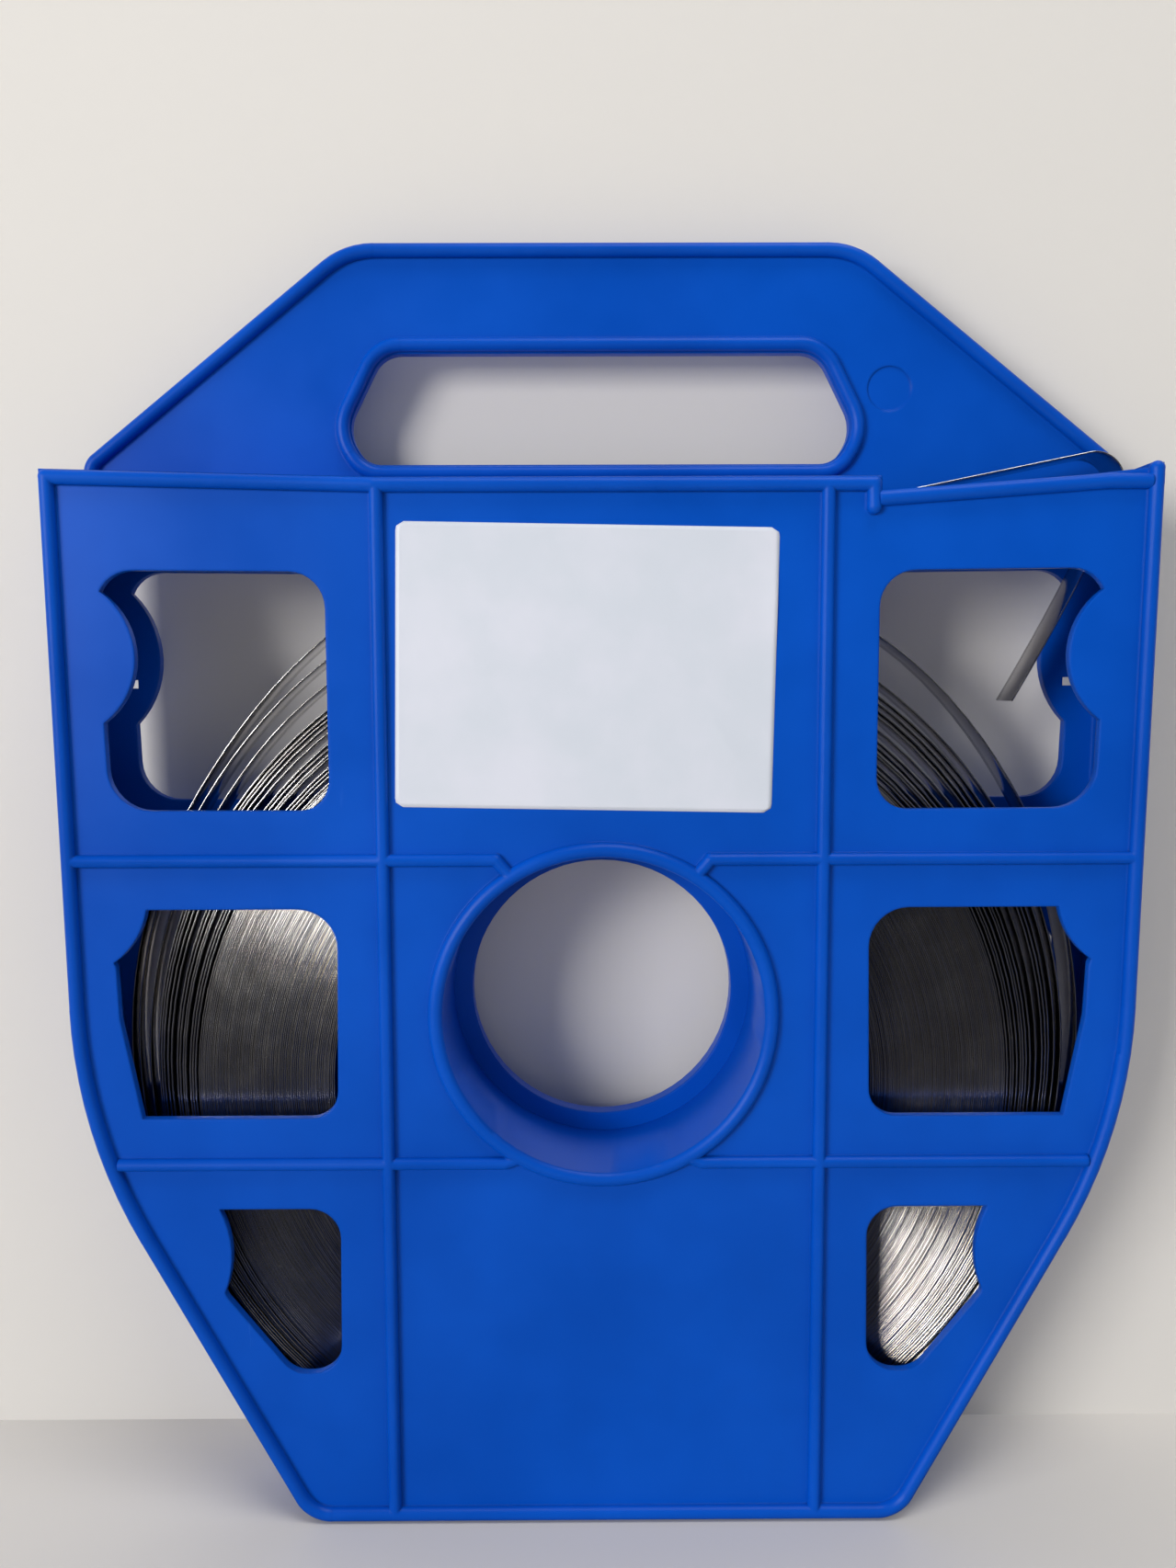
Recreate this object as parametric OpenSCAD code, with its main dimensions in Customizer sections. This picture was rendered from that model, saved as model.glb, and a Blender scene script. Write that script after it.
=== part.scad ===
// Coil of flat steel strap in its carrying case. The case is two moulded halves
// that close on each other around the loose coil; the back half carries the handle.
// X is across, Y runs from the front face to the back, Z is up, and the case stands
// on its flat bottom. Sizes are in millimetres.

/* [Case] */
// width over the top corners of the body
case_w = 245; // [235:0.5:255]
// height of the body at its top corners
body_h = 243.5; // [240:0.5:250]
// full thickness, over the beads of both faces
case_d = 31; // [28:0.5:36]
// height to the top of the handle
full_h = 299.4; // [296:0.1:306]
// half width where the straight bottom would end without its rounding
bottom_x = 70; // [64:0.5:76]
// height where the side turns in towards the bottom
knee_z = 94.3; // [88:0.1:100]
// how far the side leans in from the top corner to the knee
knee_in = 2.1; // [0:0.1:5]
// radius of the turn at the knee
knee_r = 120; // [60:1:140]
// radius of the bottom corners
foot_r = 10; // [4:0.5:16]
// thickness of the front panel and of the walls
wall = 2; // [1.6:0.1:2.6]
// thickness of the back panel and of the handle
back_wall = 2.5; // [2:0.1:3]

/* [Beads] */
// how far the beads stand out of the panels
bead_out = 2; // [1:0.1:2.5]
// radius of the bead round each half
rim_r = 1.6; // [1.2:0.05:2]
// radius of the upright and level ribs
rib_r = 1.5; // [1.1:0.05:1.9]
// distance of the upright ribs from the middle
rib_x = 49.3; // [44:0.1:54]
// height of the upper level ribs
rib_z1 = 157.3; // [152:0.1:162]
// height of the lower level ribs
rib_z2 = 87.1; // [82:0.1:92]

/* [Hub] */
// height of the hub's axis
hub_z = 121.4; // [118:0.1:126]
// bore of the front tube
hub_bore_r = 36.5; // [33:0.1:38]
// wall of the front tube
hub_wall = 3.2; // [2:0.1:4]
// opening of the back half inside the front tube
hub_back_r = 32; // [28:0.1:34]

/* [Handle] */
// half width of the flat top, up to the sloping shoulder
grip_x = 60; // [54:0.5:66]
// height where the shoulder meets the side
shoulder_z = 249.4; // [248:0.1:256]
// how far the shoulder reaches out past the body's corner
shoulder_out = 0.4; // [0:0.1:2]
// radius of the handle's top corners
grip_r = 20; // [8:1:30]
// top of the hand slot
slot_top = 274.2; // [268:0.1:280]
// bottom of the hand slot
slot_bottom = 248.5; // [248:0.1:252]
// half width of the hand slot at its widest
slot_x = 60.4; // [54:0.1:66]

/* [Strap] */
// width of the steel strap
strap_w = 10; // [6:0.5:16]
// thickness of the steel strap
strap_t = 0.4; // [0.3:0.05:0.7]
// bore of the tight part of the coil
coil_r1 = 62.5; // [58:0.5:70]
// room at each side of the coil's tight part, for its loose turns
coil_side = 18.3; // [17.5:0.1:24]
// room over the coil's tight part
coil_over = 33.2; // [31:0.1:42]
// grooves that show on each end of the coil
coil_grooves = 24; // [8:1:40]
// where the strap's front edge lies behind the middle of the case
strap_y = -6.5; // [-8:0.1:-2]

/* [Label] */
// margin from the left upright rib to the label
label_left = 3.5; // [2:0.1:12]
// margin from the label to the right upright rib
label_right = 11.1; // [2:0.1:14]
// margin from the top edge to the label
label_top = 10.3; // [6:0.1:16]
// margin from the upper level ribs to the label
label_bottom = 11.2; // [6:0.1:18]

/* [Part] */
// which piece to draw

/* [Hidden] */

half_w = case_w / 2;
knee_x = half_w - knee_in;
y_front = -case_d / 2 + bead_out;        // outer face of the front panel
y_in1 = y_front + wall;                  // inner face of the front panel
y_back = case_d / 2 - bead_out;          // outer face of the back panel
y_in2 = y_back - back_wall;              // inner face of the back panel
y_split = 0;                             // where the halves meet
set_in = 0.2;                            // a bead's edge lies this far inside a wall's face
eps = 0.01;

// the top edge dips in the middle and steps down at the strap's mouth
sag_z = body_h - 1.9;
sag_x = half_w - 72.5;
step_x = rib_x + 11.7;
step_z = body_h - 6.7;
post_z = body_h + 1;

// corners of the windows as [x, z], for the right-hand side, and their roundings
win_foot = 36.3;
upper_win = [[rib_x + 11.7, rib_z1 + 11.1], [half_w - 12.6, rib_z1 + 11.3],
             [half_w - 11.1, body_h - 21.8], [rib_x + 11.7, body_h - 22.3]];
upper_r = [7, 9.5, 8, 8];
middle_win = [[rib_x + 11.4, rib_z2 + 10.6], [half_w - 17.2, rib_z2 + 10.6],
              [half_w - 12.9, hub_z - 0.4], [half_w - 12.5, hub_z + 11.6],
              [half_w - 6.5, rib_z1 - 11.1], [rib_x + 10.5, rib_z1 - 11.1]];
middle_r = [6.5, 0, 0, 0, 0, 9];
lower_win = [[rib_x + 11.9, win_foot], [bottom_x + 2.6, win_foot],
             [half_w - 35.1, win_foot + 18.7], [half_w - 26.5, rib_z2 - 10.9],
             [rib_x + 11.3, rib_z2 - 10.9]];
lower_r = [7, 7, 0, 0, 7];
// round lands that keep the windows off the snaps, as [x, z, radius]
lands = [[half_w - 1.5, body_h - 40.8, 17.9], [half_w - 1.1, rib_z1 - 7.7, 19],
         [half_w - 11.9, rib_z2 - 21.7, 24.6]];
// the back half's windows reach further out, and its lands with them
win_grow = 2.4;

// snaps in the side wall, as heights
snap_z = [body_h - 40.8, rib_z1 - 11.3, rib_z2 - 21.1];
snap_w = 9;
snap_reach = 6;
snap_nose = 0.7;
snap_gap = 0.2;

// the coil takes what room the case leaves it, and rests on the bottom wall
floor_z = wall;
coil_r2 = min(half_w - wall - coil_side, (sag_z - 2 * wall - coil_over) / 2);
turn_step = strap_t + 0.05;
tail_from = 1080;
// loose turns: [angle in degrees from the foot of the coil, radius beyond the tight part]
loose = [[0, 0.4], [90, 1], [270, 2.5], [450, 2.7], [630, 4.6], [810, 5.4], [990, 9.3],
         [1170, 9.6], [1500, 9.6]];
exit_pt = [step_x, sag_z - wall - strap_t / 2 - 0.3];
bend_r = 4.6;
bend_x = half_w - 8.9;
tail_mid = [half_w - 16.5, sag_z - 23.6];
tail_end = [half_w - 32.5, sag_z - 48.4];

function unit(v) = v / norm(v);
function left(v) = [-v[1], v[0]];
function lerp(a, b, t) = a + (b - a) * t;

// one rounded corner at b: centre, start angle, turn and radius
function corner(a, b, c, r) =
    let (u = unit(a - b), v = unit(c - b), h = acos(u * v) / 2,
         o = b + unit(u + v) * r / sin(h),
         s = b + u * r / tan(h) - o, e = b + v * r / tan(h) - o,
         a0 = atan2(s[1], s[0]), d = atan2(e[1], e[0]) - a0)
    [o, a0, d > 180 ? d - 360 : d < -180 ? d + 360 : d, r];
function corner_at(P, R, i) =
    let (n = len(P)) corner(P[(i + n - 1) % n], P[i], P[(i + 1) % n], R[i]);
function on_corner(k, t) = k[0] + k[3] * [cos(k[1] + k[2] * t), sin(k[1] + k[2] * t)];
function rounded(P, R, n = 10) =
    [for (i = [0:len(P) - 1]) each (R[i] > 0
        ? let (k = corner_at(P, R, i)) [for (j = [0:n]) on_corner(k, j / n)] : [P[i]])];

// roundings cut down where two of them would meet on a short side
function reach(P, R, i) = let (n = len(P), u = unit(P[(i + n - 1) % n] - P[i]),
    v = unit(P[(i + 1) % n] - P[i])) R[i] / tan(acos(u * v) / 2);
function fit_r(P, R) = let (n = len(P), T = [for (i = [0:n - 1]) reach(P, R, i)])
    [for (i = [0:n - 1]) let (a = (i + n - 1) % n, b = (i + 1) % n)
        R[i] * min(1, 0.98 * norm(P[a] - P[i]) / max(T[a] + T[i], eps),
                   0.98 * norm(P[b] - P[i]) / max(T[i] + T[b], eps))];

// an outline moved inward by d, for corners listed anticlockwise
function inset(P, d) = let (n = len(P)) [for (i = [0:n - 1])
    let (p = left(unit(P[i] - P[(i + n - 1) % n])), q = left(unit(P[(i + 1) % n] - P[i])))
    P[i] + d * (p + q) / (1 + p * q)];
function inset_r(R, d) = [for (r = R) r > d ? r - d : 0];

// the body's outline with the dip and the step, and the back half's with the handle
body = [[bottom_x, 0], [knee_x, knee_z], [half_w, body_h], [step_x, step_z], [step_x, sag_z],
        [-sag_x, sag_z], [-half_w, body_h], [-knee_x, knee_z], [-bottom_x, 0]];
body_r = [foot_r, knee_r, 0, 0, 0, 0, 0, knee_r, foot_r];
shoulder_x = half_w + shoulder_out;
back = [[bottom_x, 0], [knee_x, knee_z], [shoulder_x, shoulder_z], [grip_x, full_h],
        [-grip_x, full_h], [-shoulder_x, shoulder_z], [-knee_x, knee_z], [-bottom_x, 0]];
back_r = [foot_r, knee_r, 6, grip_r, grip_r, 6, knee_r, foot_r];
slot = [[slot_x - 5, slot_bottom], [slot_x, slot_bottom + 8], [slot_x - 9, slot_top],
        [9 - slot_x, slot_top], [-slot_x, slot_bottom + 8], [5 - slot_x, slot_bottom]];
slot_r = [6, 9, 7, 7, 9, 6];

// lays a flat outline into the X-Z plane between two depths
module plate(y0, y1) {
    translate([0, y1, 0]) rotate([90, 0, 0]) linear_extrude(y1 - y0) children();
}

// round bar from p to q in the X-Z plane
module bar(p, q, y, r) {
    translate([p[0], y, p[1]]) rotate([0, atan2(q[0] - p[0], q[1] - p[1]), 0])
        cylinder(h = norm(q - p), r = r, $fn = 24);
}

module knob(p, y, r) {
    translate([p[0], y, p[1]]) sphere(r = r * 1.03, $fn = 24);
}

// round bead along an outline from corner i0 to corner i1. The turned corners are a
// hair thicker than the straight runs, which end inside them
module bead(P, R, y, r, i0, i1) {
    n = len(P);
    for (i = [i0:i1 - 1]) {
        a = i % n;
        b = (i + 1) % n;
        p = R[a] > 0 ? on_corner(corner_at(P, R, a), 1) : P[a];
        q = R[b] > 0 ? on_corner(corner_at(P, R, b), 0) : P[b];
        u = unit(q - p) * 0.3;
        bar(R[a] > 0 ? p - u : p, R[b] > 0 ? q + u : q, y, r);
    }
    for (i = [i0:i1]) {
        a = i % n;
        k = corner_at(P, R, a);
        if (R[a] > 0 && (i > i0 || i1 - i0 == n) && i < i0 + n)
            translate([k[0][0], y, k[0][1]]) rotate([90, 0, 0])
                rotate([0, 0, k[2] > 0 ? k[1] : k[1] + k[2]])
                    rotate_extrude(angle = abs(k[2]), $fn = 96) translate([k[3], 0])
                        circle(r = r * 1.02, $fn = 24);
        else if (R[a] == 0) knob(P[a], y, r);
    }
}

// the upright ribs and the level ribs, whose inner ends turn in to the hub's ring
module ribs(y) {
    in = rim_r + set_in;
    for (s = [-1, 1]) {
        bar([s * rib_x, in], [s * rib_x, sag_z - in], y, rib_r);
        for (t = [1, -1]) {
            z = t > 0 ? rib_z1 : rib_z2;
            x_out = t > 0 ? half_w - knee_in * 0.6 - 2 : knee_x - 9.4;
            a = [s * (t > 0 ? 24 : 22.6), z];
            b = hub_at(s * (t > 0 ? 33 : 30), t);
            bar([s * x_out, z], a, y, rib_r - 0.1);
            knob(a, y, rib_r - 0.1);
            bar(a, b, y, rib_r - 0.1);
        }
    }
}
// a point on the middle of the hub's ring, a degrees from straight up or down
function hub_at(a, t) = [0, hub_z] + (hub_bore_r + hub_wall / 2) * [sin(a), t * cos(a)];

// the windows of one half: the outer corners lie further out by grow, the top ones higher
module windows(grow) {
    pts = [upper_win, middle_win, lower_win];
    rad = [upper_r, middle_r, lower_r];
    for (s = [0, 1]) mirror([s, 0]) for (i = [0:2]) {
        W = [for (p = pts[i]) [p[0] > rib_x + 15 ? p[0] + grow : p[0],
                               p[1] > body_h - 40 ? p[1] + grow * 0.75 : p[1]]];
        difference() {
            polygon(rounded(W, fit_r(W, rad[i]), 8));
            translate([lands[i][0] + grow * 3.3, lands[i][1]])
                circle(r = lands[i][2] + grow * 1.9, $fn = 96);
        }
    }
}

// outer face of the side wall at height z
function side_x(z) = z < knee_z ? lerp(bottom_x, knee_x, z / knee_z)
    : lerp(knee_x, half_w, (z - knee_z) / (body_h - knee_z));

// where a snap sits: on the wall's inner face, turned to the wall's slope
module at_snap(i, s) {
    z = snap_z[i];
    lean = z < knee_z ? atan2(knee_x - bottom_x, knee_z) : atan2(half_w - knee_x, body_h - knee_z);
    mirror([s, 0, 0]) translate([side_x(z), 0, z]) rotate([0, lean, 0]) translate([-wall, 0, -snap_w / 2])
        children();
}

// the side walls of one half, open at the strap's mouth
module walls(y0, y1) {
    difference() {
        plate(y0, y1) difference() {
            polygon(rounded(body, body_r));
            polygon(rounded(inset(body, wall), inset_r(body_r, wall)));
        }
        translate([step_x - wall - eps, y_in1, step_z - 20])
            cube([half_w - wall - 0.6 - step_x + wall, y_in2 - y_in1, 40]);
    }
}

// the top wall's last stretch, ending square over the strap's mouth
module top_lip(y0, y1) {
    translate([step_x - wall - 1, y0, sag_z - wall]) cube([wall + 1, y1 - y0, wall]);
}

module case_front() {
    color([0.0, 0.32, 0.82]) difference() {
        union() {
            plate(y_front, y_in1) polygon(rounded(body, body_r));
            walls(y_in1 - 1, y_split);
            top_lip(y_in1 - 1, y_split);
            // corner post that stands above the sloping edge of the mouth
            translate([half_w - wall - 0.55, y_front, body_h - 6]) cube([wall + 0.5, y_split - y_front, 6.8]);
            bead(inset(body, rim_r + set_in), inset_r(body_r, rim_r + set_in),
                 y_front - bead_out + rim_r, rim_r, 3, 11);
            bar([half_w - rim_r - set_in, body_h - 4], [half_w - rim_r - set_in, post_z - rim_r],
                y_front - bead_out + rim_r, rim_r);
            knob([half_w - rim_r - set_in, post_z - rim_r], y_front - bead_out + rim_r, rim_r);
            ribs(y_front - bead_out + rib_r + 0.1);
            hub_tube();
        }
        plate(y_front - 5, y_in1 + 5) windows(0);
        plate(y_front - 5, y_in2 + 5) translate([0, hub_z]) circle(r = hub_bore_r, $fn = 96);
        // slots that take the back half's snaps
        for (s = [0, 1], i = [0:2]) at_snap(i, s)
            translate([-0.5, y_split - snap_reach - 0.2, -0.3]) cube([wall + 3, 2.6, snap_w + 0.6]);
    }
}

// front tube of the hub with its rolled rim
module hub_tube() {
    plate(y_front - 0.4, y_in2) translate([0, hub_z]) circle(r = hub_bore_r + hub_wall, $fn = 96);
    translate([0, y_front - bead_out + rim_r + 0.15, hub_z]) rotate([90, 0, 0])
        rotate_extrude($fn = 96) translate([hub_bore_r + hub_wall / 2, 0]) circle(r = rim_r + 0.15, $fn = 24);
}

module case_back() {
    color([0.0, 0.30, 0.78]) difference() {
        union() {
            plate(y_in2, y_back) polygon(rounded(back, back_r));
            walls(y_split, y_in2 + 1);
            top_lip(y_split, y_in2 + 1);
            // beads on the outer face: round the whole half, the ribs and the hub's ring
            bead(inset(back, rim_r + set_in), inset_r(back_r, rim_r + set_in),
                 y_back + bead_out - rim_r, rim_r, 0, 8);
            ribs(y_back + bead_out - rib_r - 0.1);
            translate([0, y_back + bead_out - rim_r - 0.15, hub_z]) rotate([90, 0, 0])
                rotate_extrude($fn = 96) translate([hub_bore_r + hub_wall / 2, 0])
                    circle(r = rim_r, $fn = 24);
            translate([0, y_back + bead_out - rim_r, hub_z]) rotate([90, 0, 0])
                rotate_extrude($fn = 96) translate([hub_back_r + rim_r - 0.3, 0])
                    circle(r = rim_r, $fn = 24);
            bar([-half_w + 3, sag_z - rim_r], [half_w - 3, sag_z - rim_r],
                y_back + bead_out - rib_r - 0.1, rib_r);
            // beads on both faces of the handle
            for (y = [y_in2 - bead_out + rim_r, y_back + bead_out - rim_r])
                bead(inset(slot, -rim_r - 0.4), [for (r = slot_r) r + rim_r + 0.4], y, rim_r, 0, 6);
            bead(inset(back, rim_r + set_in), inset_r(back_r, rim_r + set_in),
                 y_in2 - bead_out + rim_r, rim_r, 2, 5);
            snaps();
        }
        plate(y_in2 - 5, y_back + 5) {
            polygon(rounded(slot, slot_r, 8));
            windows(win_grow);
            translate([0, hub_z]) circle(r = hub_back_r, $fn = 96);
            // small holes that let the mould reach behind the snaps
            for (s = [-1, 1], i = [0:2])
                translate([s * (side_x(lands[i][1] - 6) - 7.3), lands[i][1] - 6])
                    square([5.2, 2], center = true);
        }
        // ejector mark on the handle
        translate([grip_x + 8.5, y_in2 - 1, slot_top - 8.2]) rotate([-90, 0, 0])
            cylinder(h = 1.25, r = 5.2, $fn = 48);
    }
}

// tongues inside the wall, each with a nose that sits in a slot of the front half
module snaps() {
    for (s = [0, 1], i = [0:2]) at_snap(i, s) {
        translate([-1 - snap_gap, y_split - snap_reach, 0]) cube([1, snap_reach + 4, snap_w]);
        translate([-1 - snap_gap, y_split - snap_reach, 0])
            linear_extrude(snap_w) polygon([[0.5, 0], [1 + snap_gap + snap_nose, 2],
                                            [1 + snap_gap + snap_nose, 2.2], [0.5, 2.2]]);
        translate([-1 - snap_gap, y_split + 0.5, 0]) cube([1 + snap_gap + 0.5, 3.5, snap_w]);
    }
}

// radius of the loose strap at angle t, easing from one side of the coil to the other
function ease(u) = u * u * (3 - 2 * u);
function loose_r(t, i = 0) = t < loose[i + 1][0]
    ? coil_r2 + lerp(loose[i][1], loose[i + 1][1],
                     ease((t - loose[i][0]) / (loose[i + 1][0] - loose[i][0])))
    : loose_r(t, i + 1);
function foot_of(t) = floor_z + strap_t / 2 + max(0, (tail_from - t) / 360 * turn_step);
// d is the distance from the strap's middle line, outward
function loose_pt(t, d) = let (r = loose_r(t))
    [-(r + d) * sin(t), foot_of(t) + r - (r + d) * cos(t)];

// the free end leaves the outermost turn straight, bends over and hangs into the case
top_c = [0, floor_z + strap_t / 2 + loose_r(tail_from + 170)];
to_exit = exit_pt - top_c;
leave_a = atan2(to_exit[1], to_exit[0]) + acos(loose_r(tail_from + 170) / norm(to_exit)) - 90;
bend_s = [bend_x - bend_r * sin(leave_a),
          exit_pt[1] + (bend_x - bend_r * sin(leave_a) - exit_pt[0]) * tan(leave_a)];
bend_c = bend_s + bend_r * [sin(leave_a), -cos(leave_a)];
drop_a = 22;
bend_e = bend_c + bend_r * [cos(drop_a), -sin(drop_a)];
tail_ctl = 2 * tail_mid - (bend_e + tail_end) / 2;
tail_line = concat(
    [bend_s * 0.4 + exit_pt * 0.6],
    [for (k = [0:10]) let (a = 90 + leave_a - k / 10 * (90 + leave_a + drop_a))
        bend_c + bend_r * [cos(a), sin(a)]],
    [for (k = [1:6]) let (t = k / 6)
        (1 - t) * (1 - t) * bend_e + 2 * t * (1 - t) * tail_ctl + t * t * tail_end]);
function side_pts(P, d) = [for (i = [0:len(P) - 1])
    let (a = P[max(i - 1, 0)], b = P[min(i + 1, len(P) - 1)]) P[i] + d * left(unit(b - a))];
turns_to = tail_from + 180 - leave_a;
turn_pts = [for (k = [0:ceil(turns_to / 6)]) min(k * 6, turns_to)];

module strap_coil() {
    pitch = (coil_r2 - coil_r1) / coil_grooves;
    groove = [0.35, 0.3];
    zc = floor_z + (tail_from / 360 + 1) * turn_step - 0.2 + coil_r2;
    color([0.72, 0.74, 0.76]) union() {
        translate([0, strap_y + strap_w / 2, zc]) rotate([90, 0, 0]) rotate_extrude($fn = 180)
            polygon(concat(
                [[coil_r1, -strap_w / 2]],
                [for (i = [1:coil_grooves - 1]) let (r = coil_r1 + i * pitch) each [
                    [r - groove[0] / 2, -strap_w / 2], [r, groove[1] - strap_w / 2],
                    [r + groove[0] / 2, -strap_w / 2]]],
                [[coil_r2, -strap_w / 2], [coil_r2, strap_w / 2]],
                [for (i = [coil_grooves - 1:-1:1]) let (r = coil_r1 + i * pitch) each [
                    [r + groove[0] / 2, strap_w / 2], [r, strap_w / 2 - groove[1]],
                    [r - groove[0] / 2, strap_w / 2]]],
                [[coil_r1, strap_w / 2]]));
        plate(strap_y, strap_y + strap_w) polygon(concat(
            [for (t = turn_pts) loose_pt(t, strap_t / 2)],
            side_pts(tail_line, strap_t / 2),
            [for (p = [side_pts(tail_line, -strap_t / 2)], i = [len(p) - 1:-1:0]) p[i]],
            [for (i = [len(turn_pts) - 1:-1:0]) loose_pt(turn_pts[i], -strap_t / 2)]));
    }
}

module label() {
    w = (2 * rib_x - label_left - label_right) / 2;
    h = (sag_z - label_top - rib_z1 - label_bottom) / 2;
    color([0.93, 0.94, 0.97])
        translate([w + label_left - rib_x, 0, rib_z1 + label_bottom + h]) rotate([0, 1.1, 0])
            plate(y_front - 0.15, y_front)
                polygon(rounded([[w, -h], [w, h], [-w, h], [-w, -h]], [1.6, 1.6, 1.6, 1.6], 6));
}

case_front();
case_back();
strap_coil();
label();
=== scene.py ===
import math
import random

import bmesh
import bpy
import numpy as np
from mathutils import Matrix, Vector


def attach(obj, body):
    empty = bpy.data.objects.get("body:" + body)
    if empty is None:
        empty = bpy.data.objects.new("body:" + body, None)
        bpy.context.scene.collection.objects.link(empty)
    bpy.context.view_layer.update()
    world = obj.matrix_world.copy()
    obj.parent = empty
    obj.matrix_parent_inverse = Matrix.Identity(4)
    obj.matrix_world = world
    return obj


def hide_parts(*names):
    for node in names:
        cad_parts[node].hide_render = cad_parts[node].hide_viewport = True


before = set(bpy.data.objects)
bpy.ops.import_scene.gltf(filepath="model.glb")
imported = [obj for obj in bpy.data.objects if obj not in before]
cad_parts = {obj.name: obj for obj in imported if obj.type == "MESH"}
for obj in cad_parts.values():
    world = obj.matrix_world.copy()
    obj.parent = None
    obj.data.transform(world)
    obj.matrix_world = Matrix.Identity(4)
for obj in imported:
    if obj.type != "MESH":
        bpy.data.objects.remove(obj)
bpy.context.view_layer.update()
MM = 0.001

# ---------------------------------------------------------------- node trees


class Value:
    """One socket of a tree, so that sums on it read as plain expressions."""

    def __init__(self, tree, socket):
        self.tree, self.socket = tree, socket

    def maths(self, operation, *values):
        return self.tree.node("ShaderNodeMath", {"operation": operation}, values)

    def __add__(self, other):
        return self.maths("ADD", self, other)

    def __sub__(self, other):
        return self.maths("SUBTRACT", self, other)

    def __mul__(self, other):
        return self.maths("MULTIPLY", self, other)

    def __truediv__(self, other):
        return self.maths("DIVIDE", self, other)

    def __pow__(self, other):
        return self.maths("POWER", self, other)

    def __rsub__(self, other):
        return self.maths("SUBTRACT", other, self)

    __radd__, __rmul__ = __add__, __mul__


class Tree:
    """A node tree and the one method that adds any node to it."""

    def __init__(self, tree):
        self.tree = tree

    def node(self, kind, settings=None, values=(), out=0):
        made = self.tree.nodes.new(kind)
        for name, value in (settings or {}).items():
            if name == "stops":
                ramp = made.color_ramp
                for at, colour in value[1:-1]:
                    ramp.elements.new(at)
                for stop, (at, colour) in zip(ramp.elements, value):
                    stop.position, stop.color = at, colour
            else:
                setattr(made, name, value)
        pairs = values.items() if isinstance(values, dict) else enumerate(values)
        for key, value in pairs:
            self.put(made.inputs[key], value)
        made_out = made.outputs[out] if len(made.outputs) else None
        result = Value(self, made_out)
        result.made = made
        return result

    def put(self, socket, value):
        if isinstance(value, Value):
            self.tree.links.new(value.socket, socket)
        elif value is not None:
            socket.default_value = value


class Finish(Tree):
    """A material, its object coordinates and its textures."""

    def __init__(self, name):
        self.material = bpy.data.materials.new(name)
        self.material.use_nodes = True
        super().__init__(self.material.node_tree)
        self.tree.nodes.clear()
        self.place = self.node("ShaderNodeTexCoord", out="Object")

    def noise(self, scale, detail=3.0, roughness=0.5, squash=(1, 1, 1), at=(0, 0, 0)):
        place = self.node("ShaderNodeMapping", {}, {"Vector": self.place, "Location": at, "Scale": squash})
        return self.node("ShaderNodeTexNoise", {}, {
            "Vector": place, "Scale": scale, "Detail": detail, "Roughness": roughness})

    def band(self, value, low, high, to_low=0.0, to_high=1.0):
        return self.node("ShaderNodeMapRange", {"interpolation_type": "SMOOTHSTEP"},
                         (value, low, high, to_low, to_high))

    def blend(self, factor, a, b, how="MIX"):
        return self.node("ShaderNodeMix", {"data_type": "RGBA", "blend_type": how},
                         {0: factor, 6: a, 7: b}, out=2)

    def bump(self, height, strength, distance, normal=None):
        return self.node("ShaderNodeBump", {}, {
            "Height": height, "Strength": strength, "Distance": distance, "Normal": normal})

    def surface(self, varying, **steady):
        shader = self.node("ShaderNodeBsdfPrincipled", {}, {**steady, **varying})
        self.node("ShaderNodeOutputMaterial", {}, {"Surface": shader})
        return self.material


def rgb(r, g, b):
    """A colour as it is seen on a screen, 0 to 255, made linear for a socket."""
    line = [c / 255 / 12.92 if c <= 10 else ((c / 255 + 0.055) / 1.055) ** 2.4 for c in (r, g, b)]
    return (*line, 1.0)


# ---------------------------------------------------------------- finishes


def moulded_blue(name):
    """Blue polypropylene straight from the mould: a soft sheen, faint flow marks and rubbed edges."""
    f = Finish(name)
    flow = f.noise(9.0, 4.0, 0.55, (1, 1, 0.45))
    cloud = f.noise(26.0, 3.0, 0.6)
    grain = f.noise(2600.0, 2.0, 0.6)
    wave = f.noise(34.0, 1.0, 0.4, at=(3, 1, 2))
    deep = rgb(0, 70, 172)
    plain = rgb(0, 80, 190)
    colour = f.blend(f.band(flow * 0.6 + cloud * 0.4, 0.35, 0.65), deep, plain)
    scuff = f.noise(420.0, 5.0, 0.7, (1, 1, 0.12), at=(1, 5, 0))
    patch = f.noise(17.0, 2.0, 0.5, at=(7, 2, 4))
    marks = f.band(scuff, 0.66, 0.78) * f.band(patch, 0.5, 0.7)
    colour = f.blend(marks * 0.16, colour, rgb(70, 130, 225))
    edge = f.node("ShaderNodeBevel", {"samples": 4}, {"Radius": 0.8 * MM})
    skin = f.bump(wave, 0.10, 1.2 * MM, edge)
    skin = f.bump(grain, 0.08, 0.05 * MM, skin)
    rough = f.band(cloud, 0.3, 0.7, 0.29, 0.37) + marks * 0.15
    return f.surface({"Base Color": colour, "Roughness": rough, "Normal": skin},
                     **{"IOR": 1.49, "Specular IOR Level": 0.13})


COIL_MIDDLE = (0, 0, 0.1029)          # of the tight turns


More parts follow.
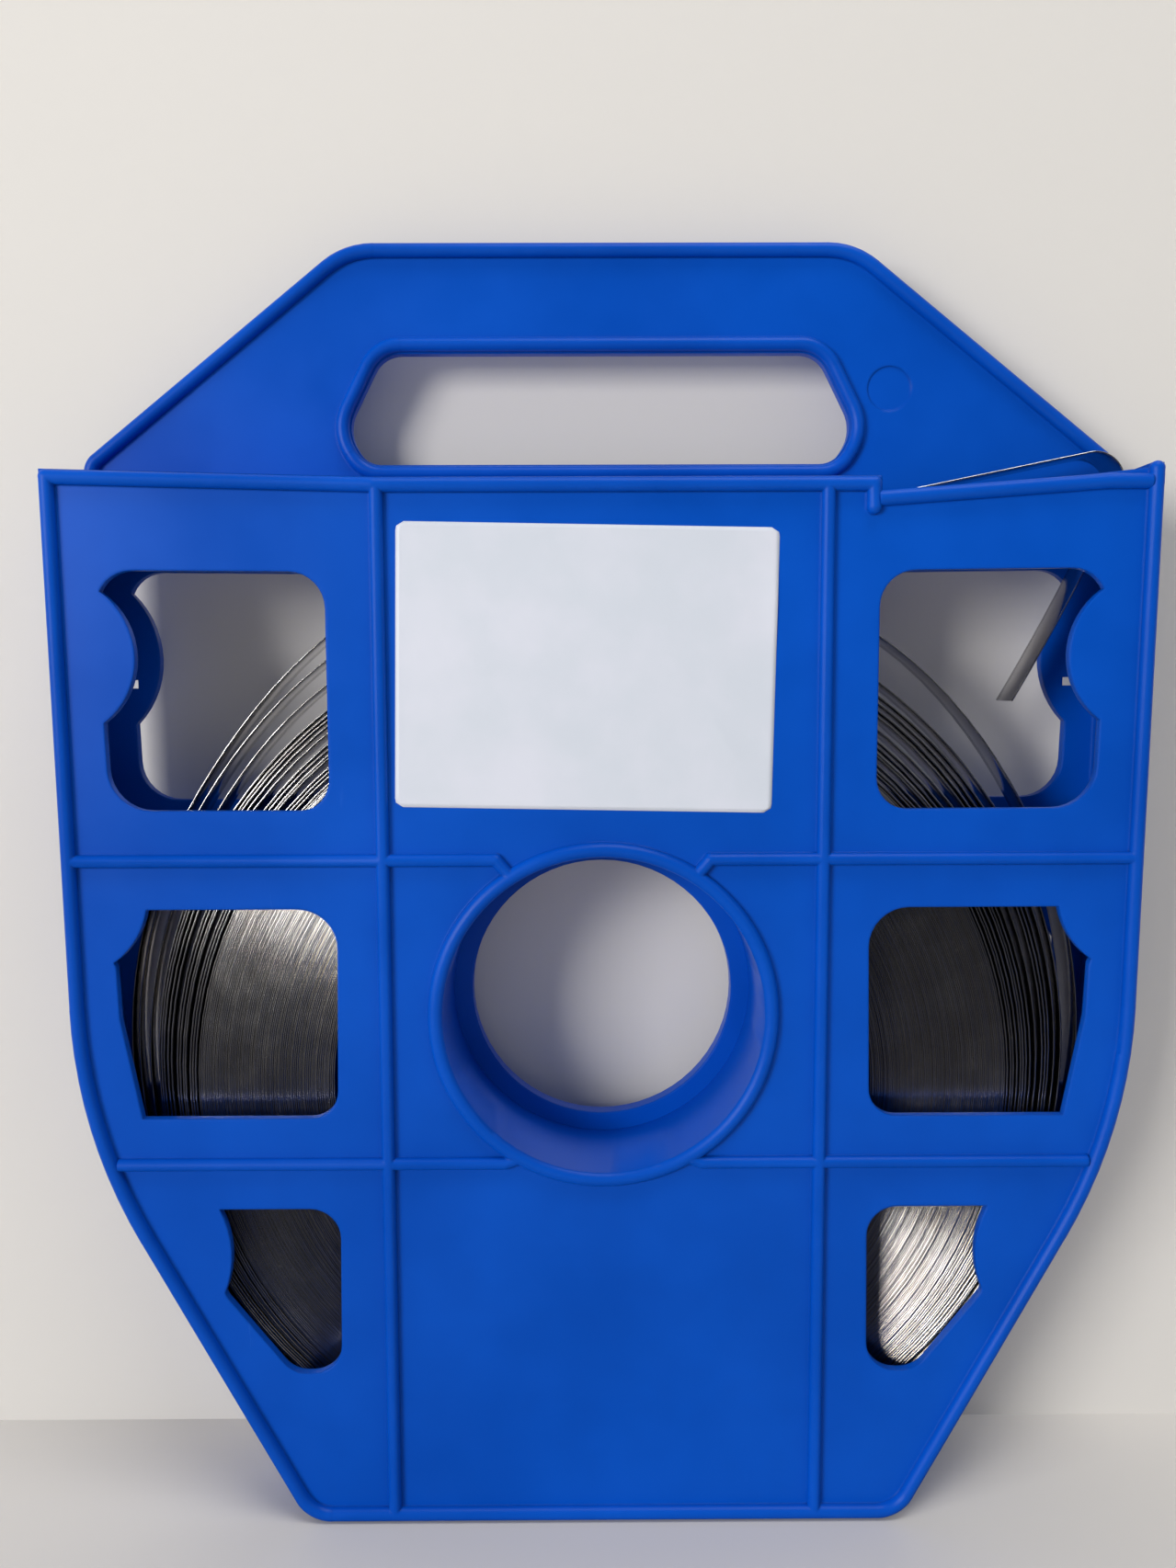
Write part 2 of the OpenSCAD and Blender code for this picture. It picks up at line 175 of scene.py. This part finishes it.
def rolled_steel(name):
    """Bright cold-rolled strip: a mirror with fine rolling lines on its faces and dull slit edges."""
    f = Finish(name)
    blotch = f.noise(42.0, 3.0, 0.6)
    line = f.noise(5200.0, 2.0, 0.6)
    stain = f.noise(130.0, 4.0, 0.65, at=(2, 8, 5))
    colour = f.blend(f.band(blotch, 0.3, 0.7), rgb(196, 192, 188), rgb(214, 213, 212))
    colour = f.blend(f.band(stain, 0.62, 0.8) * 0.3, colour, rgb(150, 140, 130))
    # the slit edges face front and back, and are duller than the rolled faces
    way = f.node("ShaderNodeSeparateXYZ", {}, (f.node("ShaderNodeNewGeometry", out="Normal"),), out=1)
    slit = f.band(way * way, 0.3, 0.8)
    # on them the turns lie in rings about the coil's middle; some rings are rougher and painted darker, painted
    # shade that stands in for the shade in the gaps between the turns
    flat = f.node("ShaderNodeMapping", {}, {"Vector": f.place, "Scale": (1, 0, 1)})
    ring = f.node("ShaderNodeVectorMath", {"operation": "DISTANCE"}, (flat, COIL_MIDDLE), out=1)
    turn = f.node("ShaderNodeTexNoise", {"noise_dimensions": "1D"}, {"W": ring, "Scale": 1700.0, "Detail": 2.0})
    turn = f.band(turn, 0.34, 0.66) * f.band(ring, 0.118, 0.121, 1.0, 0.0) * slit
    colour = f.blend(turn * 0.6, colour, rgb(104, 102, 102))
    rough = f.band(stain, 0.3, 0.8, 0.10, 0.17) + slit * 0.06 + turn * 0.06
    skin = f.bump(line, 0.08, 0.03 * MM)
    return f.surface({"Base Color": colour, "Roughness": rough, "Normal": skin}, Metallic=1.0)


def smooth_paper(name):
    """Coated white label paper, faintly cool, with a slight mottle."""
    f = Finish(name)
    mottle = f.noise(46.0, 3.0, 0.55)
    fibre = f.noise(3000.0, 3.0, 0.6, (1, 1, 0.6))
    colour = f.blend(f.band(mottle, 0.3, 0.7), rgb(206, 212, 222), rgb(214, 217, 228))
    skin = f.bump(fibre, 0.12, 0.04 * MM)
    rough = f.band(mottle, 0.2, 0.8, 0.42, 0.5)
    return f.surface({"Base Color": colour, "Roughness": rough, "Normal": skin})


# ---------------------------------------------------------------- mesh tools


def settle(obj, name, node=None, body="root"):
    """Names a finished piece, rides it on its body and hides the CAD part it stands for."""
    obj.name = obj.data.name = name
    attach(obj, body)
    if node:
        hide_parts(node)
    return obj


def new_object(name, mesh):
    obj = bpy.data.objects.new(name, mesh)
    bpy.context.collection.objects.link(obj)
    return obj


def moulded_half(node, name, finish):
    """A welded copy of one half of the case, smooth over its beads and sharp at its corners."""
    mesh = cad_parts[node].data.copy()
    if "custom_normal" in mesh.attributes:
        mesh.attributes.remove(mesh.attributes["custom_normal"])
    bm = bmesh.new()
    bm.from_mesh(mesh)
    bmesh.ops.remove_doubles(bm, verts=bm.verts, dist=0.002 * MM)
    for face in bm.faces:
        face.smooth = True
    bm.to_mesh(mesh)
    bm.free()
    mesh.materials.clear()
    mesh.materials.append(finish)
    mesh.set_sharp_from_angle(angle=math.radians(32))
    return new_object(name, mesh)


def baked(obj):
    """The evaluated shape of an object as a plain mesh, with its modifiers gone."""
    graph = bpy.context.evaluated_depsgraph_get()
    mesh = bpy.data.meshes.new_from_object(obj.evaluated_get(graph), depsgraph=graph)
    obj.modifiers.clear()
    if obj.type == "MESH":
        obj.data = mesh
        return obj
    fresh = new_object(obj.name, mesh)
    bpy.data.objects.remove(obj)
    return fresh


# ---------------------------------------------------------------- the strap

STRAP_W, STRAP_T = 10 * MM, 0.4 * MM
STRAP_Y = -6.5 * MM                   # front edge of the strap
FLOOR_Z = 2 * MM                      # the bottom wall's inner face, which the coil rests on
TAIL_FROM = 1080                      # degrees of loose strap before it leaves the turn below
LOOSE_STEP, TIGHT_STEP = 0.45, 0.414  # from one turn to the next at the foot of the coil
TIGHT_TURNS = 88.5
# the outer turns have sprung open: (degrees from the foot, radius), both ways from turn 0
TURNS = [(-4600, 94.06), (-4194, 94.64), (-3834, 95.47), (-3474, 96.08), (-3114, 96.69), (-2754, 97.79),
         (-2394, 98.32), (-2034, 99.06), (-1674, 99.75), (-1314, 101.04), (-1223, 101.32), (-954, 101.9),
         (-863, 102.84), (-594, 102.68), (-503, 103.63), (-234, 103.26), (-143, 104.6), (0, 103.63),
         (134, 104.05), (217, 105.5), (350, 105.7), (480, 105.95), (504, 106.9), (586, 107.1), (720, 107.7),
         (842, 108.6), (865, 109.6), (934, 112), (962, 111.1), (1080, 110.2), (1202, 110.1), (1226, 112)]
TURNS_TO = TURNS[-1][0]
MOUTH = np.array([62.7, 238.35])      # where the strap comes out
RISE, DROP = math.radians(11.4), math.radians(18)
BEND_R, BEND_X = 6.5, 110.6
TAIL_MID, TAIL_END = np.array([106.5, 216.9]), np.array([93.3, 192.3])


def ease(u):
    return u * u * (3 - 2 * u)


def turn_r(t):
    """Radius at t by a smooth curve through the listed turns, and by the tight step further in."""
    if t < TURNS[0][0]:
        return TURNS[0][1] + (t - TURNS[0][0]) / 360 * TIGHT_STEP
    i = max(k for k in range(len(TURNS) - 1) if TURNS[k][0] <= t)
    at = [TURNS[max(0, min(len(TURNS) - 1, k))] for k in (i - 1, i, i + 1, i + 2)]
    w = at[2][0] - at[1][0]
    u = (t - at[1][0]) / w
    slopes = [(at[k + 1][1] - at[k - 1][1]) / (at[k + 1][0] - at[k - 1][0]) for k in (1, 2)]
    return (at[1][1] + (at[2][1] - at[1][1]) * ease(u)
            + w * u * (1 - u) * ((1 - u) * slopes[0] - u * slopes[1]))


def on_turn(t):
    a, r = math.radians(t), turn_r(t)
    back = (TAIL_FROM - max(t, 0)) / 360 * LOOSE_STEP - min(t, 0) / 360 * TIGHT_STEP
    foot = FLOOR_Z / MM + STRAP_T / MM / 2 + max(0, back)
    return np.array([-r * math.sin(a), foot + r - r * math.cos(a)])


def free_end():
    """Points of the strap's end: off the last turn to the mouth, over the bend and down."""
    start, way = on_turn(TURNS_TO), on_turn(TURNS_TO) - on_turn(TURNS_TO - 3)
    way /= np.hypot(*way)
    rise = np.array([math.cos(RISE), math.sin(RISE)])
    bend_start = MOUTH + rise * (BEND_X - BEND_R * rise[1] - MOUTH[0]) / rise[0]
    centre = bend_start + BEND_R * np.array([rise[1], -rise[0]])
    points = []
    for u in np.linspace(0, 1, 31)[1:]:
        points.append((1 - u) ** 3 * start + 3 * (1 - u) ** 2 * u * (start + way * 20)
                      + 3 * (1 - u) * u * u * (MOUTH - rise * 55) + u ** 3 * MOUTH)
    for k in range(1, 12):
        points.append(MOUTH + (bend_start - MOUTH) * k / 12)
    for a in np.linspace(math.pi / 2 + RISE, -DROP, 18):
        points.append(centre + BEND_R * np.array([math.cos(a), math.sin(a)]))
    end = points[-1]
    control = 2 * TAIL_MID - (end + TAIL_END) / 2
    for u in np.linspace(0, 1, 21)[1:]:
        points.append((1 - u) ** 2 * end + 2 * u * (1 - u) * control + u * u * TAIL_END)
    return points


def wander(n, rng_phase):
    """Sideways play of the turns: a slow drift and a small jog from turn to turn."""
    return (0.10 * math.sin(n * 0.9 + rng_phase) + 0.07 * math.sin(n * 2.7 + 1.3)
            + 0.05 * math.sin(n * 6.1 + 0.4)) * MM


def sweep_rule(finish):
    """Geometry Nodes tree: sweeps the strap's rounded section along a path."""
    group = bpy.data.node_groups.new("strap_along_path", "GeometryNodeTree")
    face = group.interface
    face.new_socket("Geometry", in_out="INPUT", socket_type="NodeSocketGeometry")
    for name in ("Width", "Thickness", "Edge radius"):
        face.new_socket(name, in_out="INPUT", socket_type="NodeSocketFloat")
    face.new_socket("Geometry", in_out="OUTPUT", socket_type="NodeSocketGeometry")
    g = Tree(group)
    start = g.node("NodeGroupInput").made

    def given(name):
        return Value(g, start.outputs[name])

    line = g.node("GeometryNodeMeshToCurve", {}, {"Mesh": given("Geometry")})
    line = g.node("GeometryNodeSetCurveNormal", {"mode": "FREE"}, {"Curve": line, "Normal": (0, 1, 0)})
    section = g.node("GeometryNodeCurvePrimitiveQuadrilateral", {"mode": "RECTANGLE"},
                     {"Width": given("Width"), "Height": given("Thickness")})
    section = g.node("GeometryNodeFilletCurve", {"mode": "POLY"},
                     {"Curve": section, "Count": 2, "Radius": given("Edge radius")})
    band = g.node("GeometryNodeCurveToMesh", {}, {
        "Curve": line, "Profile Curve": section, "Fill Caps": True})
    band = g.node("GeometryNodeSetShadeSmooth", {}, {"Geometry": band, "Shade Smooth": True})
    band = g.node("GeometryNodeRealizeInstances", {}, {"Geometry": band})
    band = g.node("GeometryNodeSetMaterial", {}, {"Geometry": band, "Material": finish})
    g.node("NodeGroupOutput", {}, {"Geometry": band})
    return group


def strap_length(name, points, rule):
    """One stretch of strap along points (x, y, z), made by the sweep."""
    mesh = bpy.data.meshes.new(name)
    mesh.from_pydata(points, [(i, i + 1) for i in range(len(points) - 1)], [])
    obj = new_object(name, mesh)
    sizes = {"Width": STRAP_W, "Thickness": STRAP_T, "Edge radius": 0.13 * MM}
    bend = obj.modifiers.new("sweep", "NODES")
    bend.node_group = rule
    for item in rule.interface.items_tree:
        if item.name in sizes and item.in_out == "INPUT":
            bend[item.identifier] = sizes[item.name]
    obj = baked(obj)
    tidy = bmesh.new()
    tidy.from_mesh(obj.data)
    bmesh.ops.recalc_face_normals(tidy, faces=tidy.faces)
    tidy.to_mesh(obj.data)
    tidy.free()
    obj.data.set_sharp_from_angle(angle=math.radians(50))
    return obj


def wind_strap(finish):
    """The strap in three lengths, from the bore out: tight turns, sprung turns and the loose end."""
    rule = sweep_rule(finish)
    angles = [*np.arange(-360 * TIGHT_TURNS, 0, 4), *np.arange(0, TURNS_TO, 3), TURNS_TO]
    path = [on_turn(t) for t in angles]
    middle_y = STRAP_Y + STRAP_W / 2
    wound = [(p[0] * MM, middle_y + wander(t / 360, 0.0), p[1] * MM) for t, p in zip(angles, path)]
    wound += [(p[0] * MM, wound[len(path) - 1][1], p[1] * MM) for p in free_end()]
    cuts = [0, 44 * 90, int(TIGHT_TURNS * 90), len(wound) - 1]
    names = ("strap_inner_turns", "strap_outer_turns", "strap_loose_end")
    for i, name in enumerate(names):
        piece = strap_length(name, wound[cuts[i]:cuts[i + 1] + 1], rule)
        settle(piece, name, "strap_coil" if i == 0 else None)


# ---------------------------------------------------------------- the lip of the mouth

LIP_R, LIP_Y = 1.7, -13.8             # mm, of the half-round bead
LIP_PATH = [(60.2, 236.6), (110, 240.2), (119.6, 240.2)]


def mouth_lip(finish):
    """The bead along the strap mouth's sloping edge, a round rod half sunk in the front panel."""
    points = [Vector((x, LIP_Y, z)) * MM for x, z in LIP_PATH]
    bm = bmesh.new()
    rings = []
    for i, point in enumerate(points):
        along = (points[min(i + 1, 2)] - points[max(i - 1, 0)]).normalized()
        across = Vector((0, 1, 0)).cross(along)
        rings.append([bm.verts.new(point + LIP_R * MM * (math.cos(a) * across + math.sin(a) * Vector((0, 1, 0))))
                      for a in np.linspace(0, 2 * math.pi, 25)[:-1]])
    for low, high in zip(rings, rings[1:]):
        for k in range(24):
            bm.faces.new((low[k], low[(k + 1) % 24], high[(k + 1) % 24], high[k])).smooth = True
    for ring in (rings[0], rings[-1]):
        bm.faces.new(ring)
    bmesh.ops.recalc_face_normals(bm, faces=bm.faces)
    mesh = bpy.data.meshes.new("mouth_lip")
    bm.to_mesh(mesh)
    bm.free()
    mesh.materials.append(finish)
    mesh.set_sharp_from_angle(angle=math.radians(50))
    settle(new_object("mouth_lip", mesh), "mouth_lip")


# ---------------------------------------------------------------- the label

LABEL_W, LABEL_H = 84 * MM, 62.8 * MM
LABEL_AT = Vector((-3.8 * MM, -13.5 * MM, 199.9 * MM))


def paper_label(finish):
    """A thin sheet with rounded corners, a crease by its lower corner and an edge that lifts a little."""
    nx, nz, r = 84, 64, 1.8 * MM
    bm = bmesh.new()
    rows = []
    for j in range(nz + 1):
        v = (j / nz - 0.5) * LABEL_H
        over = max(0, abs(v) - (LABEL_H / 2 - r))
        half = LABEL_W / 2 - (r - math.sqrt(max(0, r * r - over * over)))
        row = []
        for i in range(nx + 1):
            x = (i / nx * 2 - 1) * half
            lift = 0.04 * MM
            # the crease runs down to the right, low on the right-hand side
            along = (x - 27.5 * MM) * 0.55 + (v + 11 * MM) * 0.83
            near = math.exp(-((x - 33 * MM) / (7 * MM)) ** 2 - ((v + 15 * MM) / (8 * MM)) ** 2)
            fold = (x - 31 * MM) * 0.86 + (v + 15 * MM) * 0.51
            lift += 0.22 * MM * near * math.exp(-abs(fold) / (0.9 * MM))
            right = max(0, (x - (LABEL_W / 2 - 5 * MM)) / (5 * MM))
            lift += 0.30 * MM * right ** 2 * math.exp(-((v - 14 * MM) / (8 * MM)) ** 2)
            row.append(bm.verts.new((x, -lift, v)))
        rows.append(row)
    for j in range(nz):
        for i in range(nx):
            bm.faces.new((rows[j][i], rows[j][i + 1], rows[j + 1][i + 1], rows[j + 1][i]))
    bmesh.ops.recalc_face_normals(bm, faces=bm.faces)
    for face in bm.faces:
        face.smooth = True
    mesh = bpy.data.meshes.new("label")
    bm.to_mesh(mesh)
    bm.free()
    mesh.transform(Matrix.Translation(LABEL_AT) @ Matrix.Rotation(math.radians(1.1), 4, "Y"))
    mesh.materials.append(finish)
    obj = new_object("label", mesh)
    thick = obj.modifiers.new("paper", "SOLIDIFY")
    thick.thickness, thick.offset = 0.11 * MM, 1.0
    obj = baked(obj)
    settle(obj, "paper_label", "label")


# ---------------------------------------------------------------- stage, lights, camera


def stage_plane(name, corners, finish):
    mesh = bpy.data.meshes.new(name)
    mesh.from_pydata(corners, [], [tuple(range(len(corners)))])
    mesh.materials.append(finish)
    obj = new_object(name, mesh)
    return obj


WALL_Y = 0.024                        # the wall stands just behind the case


def one_sided(name, colour):
    """Wall paint that is not there from behind, so the case's back can be looked at."""
    f = Finish(name)
    paint = f.node("ShaderNodeBsdfDiffuse", {}, {"Color": colour})
    clear = f.node("ShaderNodeBsdfTransparent")
    back = f.node("ShaderNodeNewGeometry", out="Backfacing")
    f.node("ShaderNodeOutputMaterial", {}, {"Surface": f.node("ShaderNodeMixShader", {}, (back, paint, clear))})
    return f.material


def plain_paint(name, colour, mirrored):
    """Pale matt paint, that metal and plastic mirror more dimly."""
    f = Finish(name)
    paint = f.node("ShaderNodeBsdfDiffuse", {}, {"Color": colour})
    dim = f.node("ShaderNodeBsdfDiffuse", {}, {"Color": mirrored})
    glossy = f.node("ShaderNodeLightPath", out="Is Glossy Ray")
    f.node("ShaderNodeOutputMaterial", {}, {"Surface": f.node("ShaderNodeMixShader", {}, (glossy, paint, dim))})
    return f.material


def lamp(name, at, to, size, power, colour=(1, 1, 1)):
    data = bpy.data.lights.new(name, "AREA")
    data.shape, data.size, data.size_y = "RECTANGLE", size[0], size[1]
    data.energy, data.color = power, colour
    obj = bpy.data.objects.new(name, data)
    obj.location = at
    obj.rotation_euler = (Vector(to) - Vector(at)).to_track_quat("-Z", "Y").to_euler()
    bpy.context.collection.objects.link(obj)
    return obj


def studio():
    paint = plain_paint("floor_paint", rgb(214, 210, 204), rgb(60, 60, 64))
    stage_plane("floor", [(-3, -2.5, 0), (3, -2.5, 0), (3, 2.5, 0), (-3, 2.5, 0)], paint)
    wall = stage_plane("wall", [(-3, WALL_Y, 0), (3, WALL_Y, 0), (3, WALL_Y, 3), (-3, WALL_Y, 3)],
                       one_sided("wall_front", rgb(216, 213, 208)))
    wall.visible_shadow = False
    aim = (0, 0, 0.15)
    lamp("window", (-1.63, -1.76, 0.57), aim, (0.9, 0.9), 43, (1.0, 0.985, 0.965))
    lamp("room", (1.2, -0.9, 0.9), aim, (0.8, 0.8), 1.2, (0.96, 0.98, 1.0))
    lamp("above", (0.2, -0.45, 1.5), aim, (0.8, 0.4), 8)
    lamp("behind", (0.5, 1.4, 0.9), aim, (1.2, 1.0), 4.5)
    world = bpy.data.worlds.new("studio")
    bpy.context.scene.world = world
    world.use_nodes = True
    w = Tree(world.node_tree)
    world.node_tree.nodes.clear()
    path = w.node("ShaderNodeLightPath")
    seen = w.node("ShaderNodeBackground", {}, {"Color": rgb(219, 216, 212), "Strength": 1.0})
    fill = w.node("ShaderNodeBackground", {}, {"Color": rgb(205, 210, 220), "Strength": 0.38})
    mirrored = w.node("ShaderNodeBackground", {}, {"Color": rgb(205, 208, 215), "Strength": 0.05})
    lit = w.node("ShaderNodeMixShader", {}, (Value(w, path.made.outputs["Is Glossy Ray"]), fill, mirrored))
    both = w.node("ShaderNodeMixShader", {}, (Value(w, path.made.outputs["Is Camera Ray"]), lit, seen))
    w.node("ShaderNodeOutputWorld", {}, {"Surface": both})


def photo_camera():
    """The camera where the photograph was taken: close, nearly level, a little above the middle."""
    data = bpy.data.cameras.new("camera")
    cam = bpy.data.objects.new("camera", data)
    bpy.context.collection.objects.link(cam)
    data.sensor_fit, data.sensor_width = "AUTO", 36.0
    data.lens = 1250.71 / 1706 * 36.0
    data.clip_start, data.clip_end = 0.01, 50
    turn = Matrix.Rotation(-0.0040, 3, "Z") @ Matrix.Rotation(-0.0903, 3, "X") @ Matrix.Rotation(0.0033, 3, "Y")
    turn = turn @ Matrix.Rotation(math.pi / 2, 3, "X")
    cam.matrix_world = Matrix.Translation((-0.004377, -0.26867, 0.19741)) @ turn.to_4x4()
    bpy.context.scene.camera = cam


bpy.context.scene.view_settings.view_transform = "Standard"
photo_camera()
studio()
blue = moulded_blue("moulded_blue")
settle(moulded_half("case_front", "shell_front", blue), "shell_front", "case_front")
settle(moulded_half("case_back", "shell_back", blue), "shell_back", "case_back")
mouth_lip(blue)
wind_strap(rolled_steel("rolled_steel"))
paper_label(smooth_paper("smooth_paper"))
